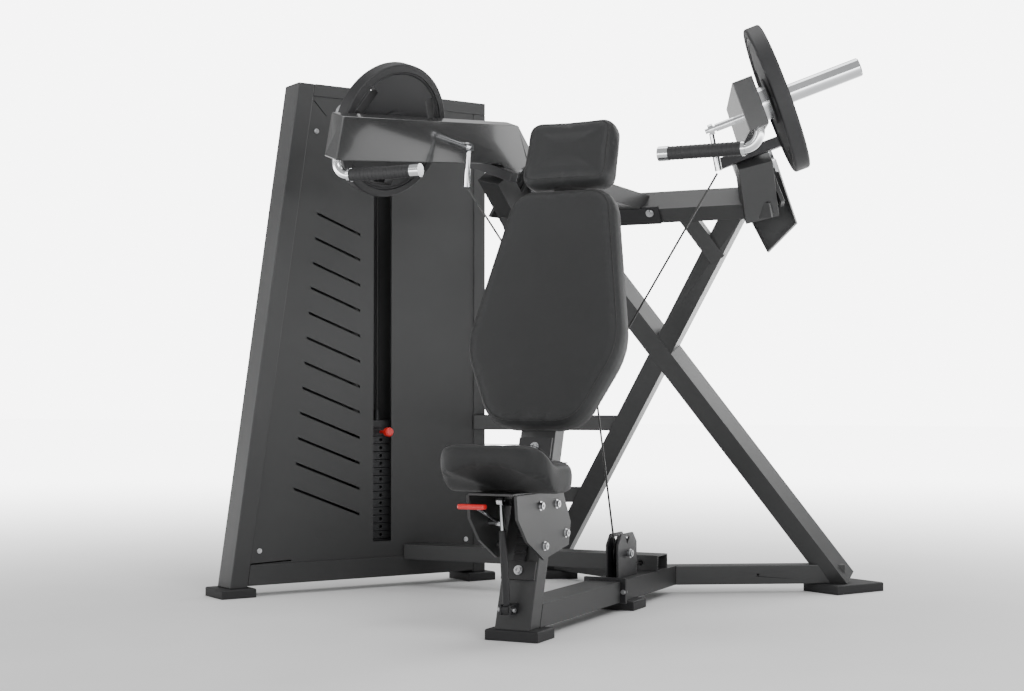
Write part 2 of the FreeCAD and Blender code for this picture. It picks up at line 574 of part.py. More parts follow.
def yoke_and_arm_cables(base):
    """The block where the three cables meet. A ball on each arm cable turns in a socket of the block."""
    touch = tangent_from(YOKE, base, BASE_PULLEY[1], 1)
    away = YOKE - touch
    block = Part.makeBox(72, 26, 28, Vec(-36, -13, -6))
    block = block.makeFillet(5, [e for e in block.Edges])
    stub = rod(Vec(0, 0, -22), Vec(0, 0, 2), 9)
    block = block.fuse(stub)
    block.rotate(Vec(0, 0, 0), Vec(1, 0, 0), math.degrees(math.atan2(-away.y, away.z)))
    block.translate(YOKE)
    end = arm_link_end()
    low = YOKE + Vec(24, 0, 24)
    top = end - unit(end - low) * 8
    cable = rod(low, top, CABLE_R).fuse(Part.makeSphere(7, low))
    for side in (-1, 1):
        socket = Part.makeSphere(7.3, Vec(side * low.x, low.y, low.z))
        block = block.cut(socket)
    save("cable_yoke", biggest(block))
    save("right_arm_cable", cable)
    save("left_arm_cable", mirrored(cable))
    print("link end", end, "yoke end", low, "length", (top - low).Length)


# ---- press arms ---------------------------------------------------------------------------
def stud_ball():
    return on_arm(STUD_AT[0], STUD_AT[1], -72)


def arm_link_end():
    """Lower end of the chrome link under the stud's rod end."""
    return stud_ball() + Vec(16, 20, -112)


def press_arm():
    lower_front = (ARM_W * math.sin(RISE), -ARM_W * math.cos(RISE))
    c, s = math.cos(DROP), math.sin(DROP)
    half = ARM_END_R
    rear_top = (PIVOT[0] + half * s, PIVOT[1] + half * c)
    rear_low = (PIVOT[0] - half * s, PIVOT[1] - half * c)
    outline = [(0, 0), BEND_TOP, rear_top, rear_low, BEND_LOW, lower_front]
    body = prism([on_arm(a, b) for a, b in outline], H * ARM_T)
    boss = rod(on_arm(PIVOT[0], PIVOT[1], 0), on_arm(PIVOT[0], PIVOT[1], ARM_T), half)
    body = body.fuse(boss).removeSplitter()
    inset = 4.0
    inner = [(inset, -inset), (BEND_TOP[0] - 1, BEND_TOP[1] - inset),
             (BEND_TOP[0] + 88 * c - 10 * s, BEND_TOP[1] - inset - 88 * s - 10 * c),
             (BEND_LOW[0] + 92 * c + 10 * s, BEND_LOW[1] + inset - 92 * s + 10 * c),
             (BEND_LOW[0], BEND_LOW[1] + inset), (lower_front[0] + inset, lower_front[1] + inset)]
    hollow = prism([on_arm(a, b, 4) for a, b in inner], H * (ARM_T - 8))
    body = body.cut(hollow)
    body = body.cut(rod(on_arm(330, -90, ARM_T / 2), on_arm(330, -140, ARM_T / 2), 4))
    body = body.cut(rod(on_arm(PIVOT[0], PIVOT[1], -5), on_arm(PIVOT[0], PIVOT[1], ARM_T + 5), SHAFT_R + 0.05))
    body = biggest(body)
    save("right_arm", body)
    save("left_arm", mirrored(body))

    sx, st = SLEEVE_AT
    sleeve = rod(on_arm(sx, st, ARM_T), on_arm(sx, st, SLEEVE_TIP), SLEEVE_R)
    rim = [e for e in sleeve.Edges if len(e.Vertexes) == 1 and (e.CenterOfMass - on_arm(sx, st, SLEEVE_TIP)).Length < 2]
    sleeve = sleeve.makeChamfer(3, rim)
    collar = rod(on_arm(sx, st, ARM_T), on_arm(sx, st, PLATE_AT), 46)
    sleeve = sleeve.fuse(collar)
    save("right_sleeve", sleeve)
    save("left_sleeve", mirrored(sleeve))

    c0, c1 = on_arm(sx, st, PLATE_AT + 0.3), on_arm(sx, st, PLATE_AT + 0.3 + PLATE_T)
    disc = rod(c0, c1, PLATE_R)
    edges = [e for e in disc.Edges if len(e.Vertexes) == 1]
    disc = disc.makeFillet(6, edges)
    for a, b in ((c0, H), (c1, H * -1)):
        disc = disc.cut(ring(a - b * 1, a + b * 5, PLATE_R - 22, 62))
    disc = disc.cut(rod(c0 - H, c1 + H, SLEEVE_R + 0.6))
    for i in range(3):
        turn = FreeCAD.Rotation(H, i * 120 + 30)
        at = (c0 + c1) / 2 + turn.multVec(E1) * 148
        across = turn.multVec(E2)
        grip = bar(at - across * 42 - H * 30, at + across * 42 - H * 30, 30, 60, unit(across.cross(H)))
        grip = bar(at - across * 42, at + across * 42, 28, 70, unit(across.cross(H)))
        disc = disc.cut(grip)
    disc = biggest(disc)
    save("right_weight_plate", disc)
    save("left_weight_plate", mirrored(disc))

    bend_r = 40.0
    root = on_arm(36, -ARM_W + 1, ARM_T / 2)
    grip_line = Vec(1, 0, 0)
    up = unit(root - Vec(GRIP_OUT + bend_r + 4, GRIP_Y, GRIP_Z + bend_r))
    corner = Vec(root.x, GRIP_Y, GRIP_Z)
    near = corner - grip_line * bend_r
    far = corner + unit(root - corner) * bend_r
    bisect = unit(unit(near - corner) + unit(far - corner))
    angle = unit(near - corner).getAngle(unit(far - corner))
    arc_r = bend_r * math.tan(angle / 2)
    centre = corner + bisect * (bend_r / math.cos(angle / 2))
    mid = centre - bisect * arc_r
    tip = Vec(GRIP_IN - 28, GRIP_Y, GRIP_Z)
    route = [Part.LineSegment(tip, near), Part.Arc(near, mid, far), Part.LineSegment(far, root)]
    core = path_tube(route, 13.0)
    cap = rod(tip, Vec(GRIP_IN, GRIP_Y, GRIP_Z), 19)
    collar = rod(Vec(GRIP_OUT, GRIP_Y, GRIP_Z), Vec(GRIP_OUT + 9, GRIP_Y, GRIP_Z), 19)
    handle = core.fuse(cap).fuse(collar).cut(body)
    handle = biggest(handle)
    save("right_handle", handle)
    save("left_handle", mirrored(handle))
    grip = ring(Vec(GRIP_IN, GRIP_Y, GRIP_Z), Vec(GRIP_OUT, GRIP_Y, GRIP_Z), GRIP_R, 13.0)
    save("right_grip", grip)
    save("left_grip", mirrored(grip))

    ball = stud_ball()
    stud = rod(on_arm(STUD_AT[0], STUD_AT[1], 0), ball + H * 14, 11)
    nut = rod(ball + H * 6, ball + H * 16, 8)
    eye_axis = H
    eye = rod(ball - eye_axis * 6, ball + eye_axis * 8, 15)
    tip_bolt = rod(ball - eye_axis * 16, ball, 7)
    end = arm_link_end()
    down = unit(end - ball)
    shank = rod(ball + down * 10, ball + down * 66, 7)
    clevis = rod(ball + down * 62, end, 10)
    link = stud.fuse(nut).fuse(eye).fuse(tip_bolt).fuse(shank).fuse(clevis)
    save("right_cable_link", biggest(link))
    save("left_cable_link", mirrored(biggest(link)))


# ---- pads ---------------------------------------------------------------------------------
PAD_UP = Vec(0, math.sin(math.radians(POST_LEAN)), math.cos(math.radians(POST_LEAN)))
PAD_BACK = Vec(0, math.cos(math.radians(POST_LEAN)), -math.sin(math.radians(POST_LEAN)))


def pad(outline, lift, back, thickness, radius):
    """A plain cushion: an outline in the pad's plane, thickened backwards."""
    corners = [BACK_FOOT + PAD_UP * (v + lift) + PAD_BACK * back + Vec(x, 0, 0) for x, v in outline]
    solid = prism(corners, PAD_BACK * thickness)
    long_edges = [e for e in solid.Edges if abs(e.tangentAt(e.FirstParameter).dot(PAD_BACK)) > 0.99]
    solid = solid.makeFillet(radius, long_edges)
    return solid


def pads(post_outer):
    half = [(128, 0), (230, 225), (146, 690)]
    outline = [(-x, v) for x, v in reversed(half)] + half
    backrest = pad(outline, 0, 0, BACK_T, 40)
    save("backrest_pad", biggest(backrest.cut(post_outer)))
    half = [(136, 0), (132, 200)]
    outline = [(-x, v) for x, v in reversed(half)] + half
    headrest = pad(outline, 700, 4, BACK_T - 4, 34)
    save("headrest_pad", biggest(headrest.cut(post_outer)))


def seat_profile(x):
    """Side outline of the seat: the rear is level and the front third curves up."""
    return [Vec(x, SEAT_REAR - 24, 382), Vec(x, SEAT_REAR, 466), Vec(x, -40, 462), Vec(x, -110, 486),
            Vec(x, SEAT_FRONT, 516), Vec(x, SEAT_FRONT, 440), Vec(x, -110, 408), Vec(x, -40, 382)]


def seat():
    body = prism(seat_profile(-SEAT_HALF), Vec(2 * SEAT_HALF, 0, 0))
    r = 70.0
    plan = Part.makeBox(2 * SEAT_HALF, SEAT_REAR - SEAT_FRONT, 300, Vec(-SEAT_HALF, SEAT_FRONT, 300))
    front_edges = [e for e in plan.Edges if abs(e.tangentAt(0).z) > 0.99 and e.CenterOfMass.y < SEAT_FRONT + 1]
    rear_edges = [e for e in plan.Edges if abs(e.tangentAt(0).z) > 0.99 and e.CenterOfMass.y > SEAT_REAR - 1]
    plan = plan.makeFillet(r, front_edges)
    rear_edges = [e for e in plan.Edges if len(e.Vertexes) == 2 and abs(e.Vertexes[0].X - e.Vertexes[1].X) < 0.01
                  and abs(e.Vertexes[0].Y - e.Vertexes[1].Y) < 0.01 and e.CenterOfMass.y > SEAT_REAR - 1]
    plan = plan.makeFillet(30, rear_edges)
    save("seat_pad", biggest(body.common(plan)))


def carriage():
    outline = [(-127, 377), (-119, 318), (-64, 259), (38, 206), (200, 232), (212, 292), (160, 377)]
    plates = []
    for x in (62.0, -70.0):
        plates.append(prism([Vec(x, y, z) for y, z in outline], Vec(8, 0, 0)))
    board = Part.makeBox(124, 150, 5, Vec(-62, -130, 376.5))
    rollers = []
    bolts = []
    for y, z in ((118, 344), (178, 264), (41, 241)):
        rollers.append(rod(Vec(-70, y, z), Vec(-52, y, z), 9))
        rollers.append(rod(Vec(52, y, z), Vec(70, y, z), 9))
    plates = [p.cut(Part.makeCompound(rollers)) for p in plates]
    save("seat_carriage", [biggest(p) for p in plates] + [board] + rollers)
    for y, z in ((16, 345), (118, 344), (41, 241), (178, 264)):
        bolts.append(bolt(Vec(70, y, z), Vec(1, 0, 0)))
        bolts.append(bolt(Vec(-70, y, z), Vec(-1, 0, 0)))
    return bolts


GAS_LOW = Vec(-5, -26, 82)
GAS_TOP = Vec(-5, -62, 360)


def gas_spring():
    axis = unit(GAS_TOP - GAS_LOW)
    length = (GAS_TOP - GAS_LOW).Length
    body = rod(GAS_LOW + axis * 12, GAS_LOW + axis * (length - 76), 10)
    bore = rod(GAS_LOW + axis * 30, GAS_LOW + axis * length, 5.3)
    eye = rod(GAS_LOW - Vec(9, 0, 0), GAS_LOW + Vec(9, 0, 0), 13)
    cylinder = body.cut(bore).fuse(eye).cut(rod(GAS_LOW - Vec(20, 0, 0), GAS_LOW + Vec(20, 0, 0), 6.05))
    save("gas_cylinder", biggest(cylinder))
    top_eye = rod(GAS_TOP - Vec(8, 0, 0), GAS_TOP + Vec(8, 0, 0), 11)
    piston = rod(GAS_LOW + axis * 85, GAS_TOP, 5).fuse(top_eye)
    piston = piston.cut(rod(GAS_TOP - Vec(20, 0, 0), GAS_TOP + Vec(20, 0, 0), 6.6))
    save("gas_rod", biggest(piston))
    clevis = []
    for x in (10.0, -16.0):
        clevis.append(Part.makeBox(6, 60, 26, Vec(GAS_LOW.x + x, GAS_LOW.y - 12, GAS_LOW.z - 13)))
    pin = rod(GAS_LOW - Vec(24, 0, 0), GAS_LOW + Vec(24, 0, 0), 6)
    clevis = [c.cut(pin) for c in clevis]
    return clevis, pin


LEVER_PIVOT = Vec(-34, -10, 300)


def lever():
    tip = Vec(LEVER_PIVOT.x, -150, 349)
    grip = Part.makeBox(75, 22, 13, Vec(-80, tip.y - 11, tip.z - 6))
    grip = grip.makeFillet(5, grip.Edges)
    hub = rod(LEVER_PIVOT - Vec(8, 0, 0), LEVER_PIVOT + Vec(8, 0, 0), 10)
    shaft = rod(LEVER_PIVOT, tip, 4.5).fuse(hub)
    shaft = shaft.cut(rod(LEVER_PIVOT - Vec(30, 0, 0), LEVER_PIVOT + Vec(30, 0, 0), 5.05))
    save("lever_rod", biggest(shaft.cut(grip)))
    save("lever_grip", grip)
    return rod(Vec(-62, LEVER_PIVOT.y, LEVER_PIVOT.z), LEVER_PIVOT + Vec(11, 0, 0), 5)


def main():
    os.makedirs("parts", exist_ok=True)
    post_outer, beam_solid = base_frame()
    cheeks = upper_frame(post_outer, beam_solid)
    feet()
    tower()
    cable_top = weight_stack()
    base, turn, toe, crown = cables()
    hangers = pulley_supports(base, turn, toe, crown)
    yoke_and_arm_cables(base)
    press_arm()
    pads(post_outer)
    seat()
    carriage_bolts = carriage()
    clevis, gas_pin = gas_spring()
    lever_pin = lever()
    stack_cable = rod(tower_at(STACK_S, STACK_N, cable_top), tower_at(STACK_S, STACK_N, CROWN_Z), CABLE_R)
    save("stack_cable", stack_cable)
    save("seat_fasteners", carriage_bolts + [lever_pin])

    dish, arm = guard(beam_solid, cheeks)
    save("pivot_guards", both(dish) + both(arm))

    clevis = [c.cut(post_outer) for c in clevis]
    flanges = [Part.makeBox(130, 12, 74, Vec(-65, RAIL_JOINT_Y - 6, PAD_H - 4))]
    beam_plate = [BEAM_EDGE + turned(-95, -8, 2, BEAM_LEAN), BEAM_EDGE + turned(95, -8, 2, BEAM_LEAN),
                  BEAM_EDGE + turned(95, -8, 62, BEAM_LEAN), BEAM_EDGE + turned(-95, -8, 62, BEAM_LEAN)]
    plate = prism(beam_plate, turned(0, 8, 0, BEAM_LEAN))
    tie_cut = bar(Vec(0, 300, 1215), Vec(0, 905, 1215), 80, 50, Vec(1, 0, 0))
    plates = [plate.cut(tie_cut)]
    save("bracket_plates", flanges + plates + clevis + hangers)

    leg = bar(Vec(-LEG_FOOT.x, LEG_FOOT.y, LEG_FOOT.z), Vec(-LEG_TOP.x, LEG_TOP.y, LEG_TOP.z),
              LEG_W, LEG_D, Vec(1, 0, 0))
    axis = unit(Vec(-LEG_TOP.x, LEG_TOP.y, LEG_TOP.z) - Vec(-LEG_FOOT.x, LEG_FOOT.y, LEG_FOOT.z))
    links = []
    for z in (536.0, 292.0):
        k = (z - LEG_FOOT.z) / (LEG_TOP.z - LEG_FOOT.z)
        at = Vec(-LEG_FOOT.x, LEG_FOOT.y, 0) + Vec(-LEG_TOP.x + LEG_FOOT.x, LEG_TOP.y - LEG_FOOT.y, 0) * k
        at.z = z
        far = tower_at(945, 0, z)
        link = tube(far + Vec(-30, 0, 0), at, 50, 50, Vec(0, 0, 1), [leg, tower_box(800, TOWER_END, -100, 0, 0, 1600)])
        links.append(link)
    save("tower_links", links)

    track = []
    out = PAD_BACK * -1

    def on_face(v, depth=0.0):
        return Vec(0, 24.5, PAD_H) + PAD_UP * v + out * (POST_D / 2 + depth)

    for v0, v1, w, thick in ((120, 168, 47, 9), (445, 500, 47, 9)):
        track.append(prism([on_face(v0) + Vec(-w, 0, 0), on_face(v0) + Vec(w, 0, 0), on_face(v1) + Vec(w, 0, 0),
                            on_face(v1) + Vec(-w, 0, 0)], out * thick))
    rack = prism([on_face(168) + Vec(-16, 0, 0), on_face(168) + Vec(16, 0, 0), on_face(445) + Vec(16, 0, 0),
                  on_face(445) + Vec(-16, 0, 0)], out * 14)
    for i in range(13):
        v = 182 + i * 20
        rack = rack.cut(prism([on_face(v, 8) + Vec(-20, 0, 0), on_face(v, 8) + Vec(20, 0, 0),
                               on_face(v + 10, 8) + Vec(20, 0, 0), on_face(v + 10, 8) + Vec(-20, 0, 0)], out * 8))
    track.append(biggest(rack))
    save("seat_track", track)

    bolts = [bolt(on_face(v, 9), out) for v in (144, 474)]
    bolts += [bolt(tower_at(s, -4, z), T_OUT, 6, 3) for s, z in ((325, 1476), (133, 141), (890, 1476), (890, 141))]
    for x in (-50, 50):
        bolts.append(bolt(Vec(x * 1.16, RAIL_JOINT_Y + 6, 58), Vec(0, 1, 0), 5.5, 5))
        bolts.append(bolt(Vec(x * 1.16, RAIL_JOINT_Y - 6, 58), Vec(0, -1, 0), 5.5, 5))
    for x in (-66, 66):
        bolts.append(bolt(BEAM_EDGE + turned(x, -8, 42, BEAM_LEAN), turned(0, -1, 0, BEAM_LEAN)))
    bolts.append(gas_pin)
    for end in (28, -28):
        d = 1 if end > 0 else -1
        bolts.append(bolt(Vec(end, base.y, base.z), Vec(d, 0, 0), 10, 6))
    save("frame_bolts", bolts)
    print(len(BODIES), "nodes")


main()
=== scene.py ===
import bpy
import bmesh
import json
import math
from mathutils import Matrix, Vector


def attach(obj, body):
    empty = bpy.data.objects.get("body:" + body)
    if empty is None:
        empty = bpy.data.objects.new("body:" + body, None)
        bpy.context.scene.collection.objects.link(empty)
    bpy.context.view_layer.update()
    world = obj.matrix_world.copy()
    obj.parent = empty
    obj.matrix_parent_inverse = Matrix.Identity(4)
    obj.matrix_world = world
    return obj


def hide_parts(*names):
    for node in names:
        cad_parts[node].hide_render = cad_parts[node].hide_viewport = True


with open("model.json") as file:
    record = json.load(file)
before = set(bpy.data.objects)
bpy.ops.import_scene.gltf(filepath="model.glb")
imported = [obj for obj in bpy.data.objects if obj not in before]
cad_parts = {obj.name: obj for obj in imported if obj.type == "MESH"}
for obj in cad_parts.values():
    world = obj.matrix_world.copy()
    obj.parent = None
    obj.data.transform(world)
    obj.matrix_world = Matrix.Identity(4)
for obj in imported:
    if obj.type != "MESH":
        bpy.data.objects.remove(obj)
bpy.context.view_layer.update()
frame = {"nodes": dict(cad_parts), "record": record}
nodes = frame["nodes"]

# Camera: low, in front of the seat and off to its +X side.
camera_data = bpy.data.cameras.new("camera")
camera_data.lens = 56.43
camera_data.sensor_width = 36.0
camera_data.clip_end = 100.0
camera = bpy.data.objects.new("camera", camera_data)
camera.location = (1.751, -3.727, 0.625)
camera.rotation_euler = (math.radians(91.8), 0.0, math.radians(25.2))
bpy.context.scene.collection.objects.link(camera)
bpy.context.scene.camera = camera


# ---- materials ------------------------------------------------------------------------
def material(name, dark, light, rough, metal=0.0, grain=60.0, bump=0.05, fine=900.0,
             coat=0.0, sheen=0.0, pattern="noise", specular=0.5, patches=3.0):
    """Two close tones in soft patches, a fine surface grain, and roughness that varies with both."""
    m = bpy.data.materials.new(name)
    m.use_nodes = True
    n, links = m.node_tree.nodes, m.node_tree.links
    shader = n["Principled BSDF"]
    shader.inputs["Metallic"].default_value = metal
    shader.inputs["Coat Weight"].default_value = coat
    shader.inputs["Coat Roughness"].default_value = 0.08
    shader.inputs["Sheen Weight"].default_value = sheen
    shader.inputs["Specular IOR Level"].default_value = specular
    where = n.new("ShaderNodeTexCoord")
    patch = n.new("ShaderNodeTexNoise")
    patch.inputs["Scale"].default_value = patches
    patch.inputs["Detail"].default_value = 6.0
    links.new(where.outputs["Object"], patch.inputs["Vector"])
    if pattern == "leather":
        grit = n.new("ShaderNodeTexVoronoi")
        grit.inputs["Scale"].default_value = grain
        height = grit.outputs["Distance"]
    else:
        grit = n.new("ShaderNodeTexNoise")
        grit.inputs["Scale"].default_value = grain
        grit.inputs["Detail"].default_value = 4.0
        height = grit.outputs["Fac"]
    links.new(where.outputs["Object"], grit.inputs["Vector"])
    dust = n.new("ShaderNodeTexNoise")
    dust.inputs["Scale"].default_value = fine
    dust.inputs["Detail"].default_value = 2.0
    links.new(where.outputs["Object"], dust.inputs["Vector"])
    mixed = n.new("ShaderNodeMath")
    mixed.operation = "MULTIPLY_ADD"
    mixed.inputs[1].default_value = 0.35
    links.new(dust.outputs["Fac"], mixed.inputs[0])
    links.new(patch.outputs["Fac"], mixed.inputs[2])
    ramp = n.new("ShaderNodeValToRGB")
    ramp.color_ramp.elements[0].position = 0.45
    ramp.color_ramp.elements[0].color = (*dark, 1)
    ramp.color_ramp.elements[1].position = 0.85
    ramp.color_ramp.elements[1].color = (*light, 1)
    links.new(mixed.outputs["Value"], ramp.inputs["Fac"])
    links.new(ramp.outputs["Color"], shader.inputs["Base Color"])
    spread = n.new("ShaderNodeMapRange")
    spread.inputs["From Min"].default_value = 0.3
    spread.inputs["From Max"].default_value = 0.95
    spread.inputs["To Min"].default_value = rough[0]
    spread.inputs["To Max"].default_value = rough[1]
    links.new(mixed.outputs["Value"], spread.inputs["Value"])
    links.new(spread.outputs["Result"], shader.inputs["Roughness"])
    relief = n.new("ShaderNodeBump")
    relief.inputs["Strength"].default_value = bump
    relief.inputs["Distance"].default_value = 0.001
    links.new(height, relief.inputs["Height"])
    links.new(relief.outputs["Normal"], shader.inputs["Normal"])
    return m


POWDER = material("powder_coat", (0.031, 0.0315, 0.032), (0.043, 0.0435, 0.044), (0.34, 0.50),
                  0.25, 700, 0.10)
PANEL = material("panel_coat", (0.030, 0.0305, 0.031), (0.040, 0.0405, 0.041), (0.40, 0.55), 0.25, 900, 0.08)
ARM = material("gloss_coat", (0.036, 0.0365, 0.037), (0.052, 0.0525, 0.053), (0.14, 0.24),
               0.35, 300, 0.02, coat=0.8)
BLACK = material("black_coat", (0.008, 0.008, 0.009), (0.018, 0.018, 0.020), (0.35, 0.55), 0.1, 600, 0.08)
VINYL = material("vinyl", (0.0085, 0.0088, 0.0092), (0.013, 0.0134, 0.014), (0.50, 0.66), 0.0, 520, 0.22,
                 pattern="leather", sheen=0.08, specular=0.35)
THREAD = material("piping", (0.006, 0.006, 0.006), (0.012, 0.012, 0.012), (0.45, 0.6), 0.0, 1500, 0.3)
RUBBER = material("rubber", (0.009, 0.009, 0.010), (0.020, 0.020, 0.021), (0.48, 0.68),
                  0.0, 800, 0.18, specular=0.4)
CHROME = material("chrome", (0.60, 0.61, 0.63), (0.78, 0.79, 0.80), (0.07, 0.20), 1.0, 120, 0.02, patches=8)
ZINC = material("zinc", (0.42, 0.43, 0.44), (0.62, 0.62, 0.63), (0.22, 0.38), 1.0, 400, 0.05)
HUB = material("hub_steel", (0.32, 0.33, 0.34), (0.45, 0.46, 0.47), (0.32, 0.46), 1.0, 500, 0.06)
PLASTIC = material("black_plastic", (0.011, 0.011, 0.012), (0.022, 0.022, 0.023), (0.36, 0.52),
                   0.0, 500, 0.12)
SHEATH = material("cable_sheath", (0.010, 0.010, 0.010), (0.020, 0.020, 0.020), (0.25, 0.40), 0.0, 2500, 0.20)
IRON = material("cast_iron", (0.020, 0.021, 0.022), (0.045, 0.046, 0.048), (0.38, 0.58), 0.5, 250, 0.25)
RED = material("red_plastic", (0.50, 0.012, 0.012), (0.66, 0.022, 0.018), (0.22, 0.38), 0.0, 400, 0.06)

FINISH = {
    "charcoal_frame": POWDER, "charcoal_panel": PANEL, "gloss_arm": ARM, "vinyl_pad": VINYL,
    "black_rubber": RUBBER, "chrome_steel": CHROME, "zinc_bolts": ZINC, "black_plastic": PLASTIC,
    "cable_sheath": SHEATH, "iron_plates": IRON, "red_plastic": RED, "black_steel": BLACK,
}


def paint(obj, mat):
    """Gives an object one material in place of those it has."""
    obj.data.materials.clear()
    obj.data.materials.append(mat)


for part in frame["record"]["subparts"]:
    paint(nodes[part["node"]], FINISH[part["material_slot"]])

# Real rectangular tube has rounded corners, so the tubes' edges are softened.
ROUNDED = {
    "seat_post": 0.004, "base_rail_front": 0.004, "base_rail_rear": 0.004, "splay_rails": 0.004,
    "x_leg_right": 0.005, "x_leg_left": 0.005, "upper_beam": 0.005, "uprights": 0.004,
    "brace_tubes": 0.004, "tower_links": 0.004, "lower_link": 0.004, "tower_front_leg": 0.003,
    "tower_rear_leg": 0.003, "tower_rails": 0.003, "left_arm": 0.004, "right_arm": 0.004,
    "arm_stops": 0.003, "pivot_cheeks": 0.0015, "pulley_bracket": 0.0015, "seat_carriage": 0.0015,
    "bracket_plates": 0.0015, "pivot_guards": 0.001, "lifting_plates": 0.001, "resting_plates": 0.001,
    "floor_feet": 0.002,
}
for name, width in ROUNDED.items():
    node = nodes[name]
    weld = node.modifiers.new("weld", "WELD")
    weld.merge_threshold = 0.00002
    soft = node.modifiers.new("soft_edges", "BEVEL")
    soft.width = width
    soft.segments = 2
    soft.limit_method = "ANGLE"
    soft.angle_limit = math.radians(40)
    soft.harden_normals = False


# ---- mesh helpers ---------------------------------------------------------------------
def link_mesh(name, verts, faces, mat, smooth=True):
    """A new object with one material and its faces turned outwards."""
    mesh = bpy.data.meshes.new(name)
    mesh.from_pydata([tuple(v) for v in verts], [], faces)
    mesh.validate()
    bm = bmesh.new()
    bm.from_mesh(mesh)
    bmesh.ops.recalc_face_normals(bm, faces=bm.faces)
    bm.to_mesh(mesh)
    bm.free()
    obj = bpy.data.objects.new(name, mesh)
    bpy.context.scene.collection.objects.link(obj)
    mesh.materials.append(mat)
    for poly in mesh.polygons:
        poly.use_smooth = smooth
    return obj


def rounded_outline(corners, radius, count):
    """Points evenly spaced round a closed outline whose corners are rounded."""
    dense = []
    size = len(corners)
    for i in range(size):
        p, q, r = Vector(corners[i - 1]), Vector(corners[i]), Vector(corners[(i + 1) % size])
        cut = min(radius, (p - q).length * 0.45, (r - q).length * 0.45)
        a = q + (p - q).normalized() * cut
        b = q + (r - q).normalized() * cut
        for k in range(13):
            t = k / 12
            dense.append(a * (1 - t) ** 2 + q * 2 * t * (1 - t) + b * t * t)
    lengths = [0.0]
    for i in range(len(dense)):
        lengths.append(lengths[-1] + (dense[(i + 1) % len(dense)] - dense[i]).length)
    points = []
    j = 0
    for i in range(count):
        target = lengths[-1] * i / count
        while lengths[j + 1] < target:
            j += 1
        span = lengths[j + 1] - lengths[j]
        t = 0 if span == 0 else (target - lengths[j]) / span
        points.append(dense[j].lerp(dense[(j + 1) % len(dense)], t))
    return points


def inset(points, amount):
    """The outline moved inwards by a distance."""
    size = len(points)
    area = sum(points[i - 1].x * points[i].y - points[i].x * points[i - 1].y for i in range(size))
    turn = 1 if area > 0 else -1
    moved = []
    for i in range(size):
        along = (points[(i + 1) % size] - points[i - 1]).normalized()
        moved.append(points[i] + Vector((-along.y, along.x)) * amount * turn)
    return moved


def cushion(name, outline, place, thickness, crown):
    """A crowned pad. place(u, v, w) puts the outline's plane and the height above the board in space."""
    t = thickness
    layers = [(0.016, 0.0), (0.005, 0.002), (0.001, 0.3 * t), (0.0, 0.55 * t), (0.003, 0.78 * t),
              (0.010, 0.90 * t), (0.0155, 0.932 * t), (0.018, 0.925 * t), (0.021, 0.94 * t),
              (0.032, 0.965 * t), (0.050, 0.985 * t)]
    verts, faces = [], []
    size = len(outline)
    centre = sum(outline, Vector((0, 0))) / size
    for amount, height in layers:
        for p in inset(outline, amount):
            verts.append(place(p.x, p.y, height))
    edge = inset(outline, layers[-1][0])
    steps = 8
    for k in range(1, steps):
        f = k / steps
        for p in edge:
            q = p.lerp(centre, f)
            verts.append(place(q.x, q.y, layers[-1][1] + crown * (1 - (1 - f) ** 2)))
    rows = len(layers) + steps - 1
    for r in range(rows - 1):
        for i in range(size):
            j = (i + 1) % size
            faces.append((r * size + i, r * size + j, (r + 1) * size + j, (r + 1) * size + i))
    verts.append(place(centre.x, centre.y, layers[-1][1] + crown))
    top = len(verts) - 1
    for i in range(size):
        faces.append(((rows - 1) * size + i, (rows - 1) * size + (i + 1) % size, top))
    verts.append(place(centre.x, centre.y, 0.0))
    under = len(verts) - 1
    for i in range(size):
        faces.append(((i + 1) % size, i, under))
    return link_mesh(name, verts, faces, VINYL)


CLOTH_FRAMES, PRESSURE = 20, 4.0


def fill_with_cloth(pad, cap, voxel=0.006):
    """The stuffing swells the cover a little. No point moves further than cap."""
    scene = bpy.context.scene
    bpy.context.view_layer.objects.active = pad
    pad.select_set(True)
    remesh = pad.modifiers.new("remesh", "REMESH")
    remesh.mode = "VOXEL"
    remesh.voxel_size = voxel
    bpy.ops.object.modifier_apply(modifier="remesh")
    start = [v.co.copy() for v in pad.data.vertices]
    cloth = pad.modifiers.new("cloth", "CLOTH")
    cloth.settings.use_pressure = True
    cloth.settings.uniform_pressure_force = PRESSURE
    cloth.settings.effector_weights.gravity = 0.0
    cloth.settings.quality = 4
    cloth.point_cache.frame_start = 1
    cloth.point_cache.frame_end = CLOTH_FRAMES
    for f in range(1, CLOTH_FRAMES + 1):
        scene.frame_set(f)
    bpy.ops.object.modifier_apply(modifier="cloth")
    scene.frame_set(1)
    for v, old in zip(pad.data.vertices, start):
        move = v.co - old
        if move.length > cap:
            v.co = old + move.normalized() * cap
    pad.select_set(False)
    for poly in pad.data.polygons:
        poly.use_smooth = True
    sub = pad.modifiers.new("smooth", "SUBSURF")
    sub.levels = 1
    sub.render_levels = 1


def tube_along(name, points, radius, mat, sides=8):
    """A round bead along a closed loop of points, for seams and rings."""
    size = len(points)
    verts, faces = [], []
    for i in range(size):
        along = (points[(i + 1) % size] - points[i - 1]).normalized()
        side = along.cross(Vector((0.13, 0.21, 0.97))).normalized()
        up = side.cross(along)
        for k in range(sides):
            a = 2 * math.pi * k / sides
            verts.append(points[i] + side * math.cos(a) * radius + up * math.sin(a) * radius)
    for i in range(size):
        j = (i + 1) % size
        for k in range(sides):
            m = (k + 1) % sides
            faces.append((i * sides + k, j * sides + k, j * sides + m, i * sides + m))
    return link_mesh(name, verts, faces, mat)


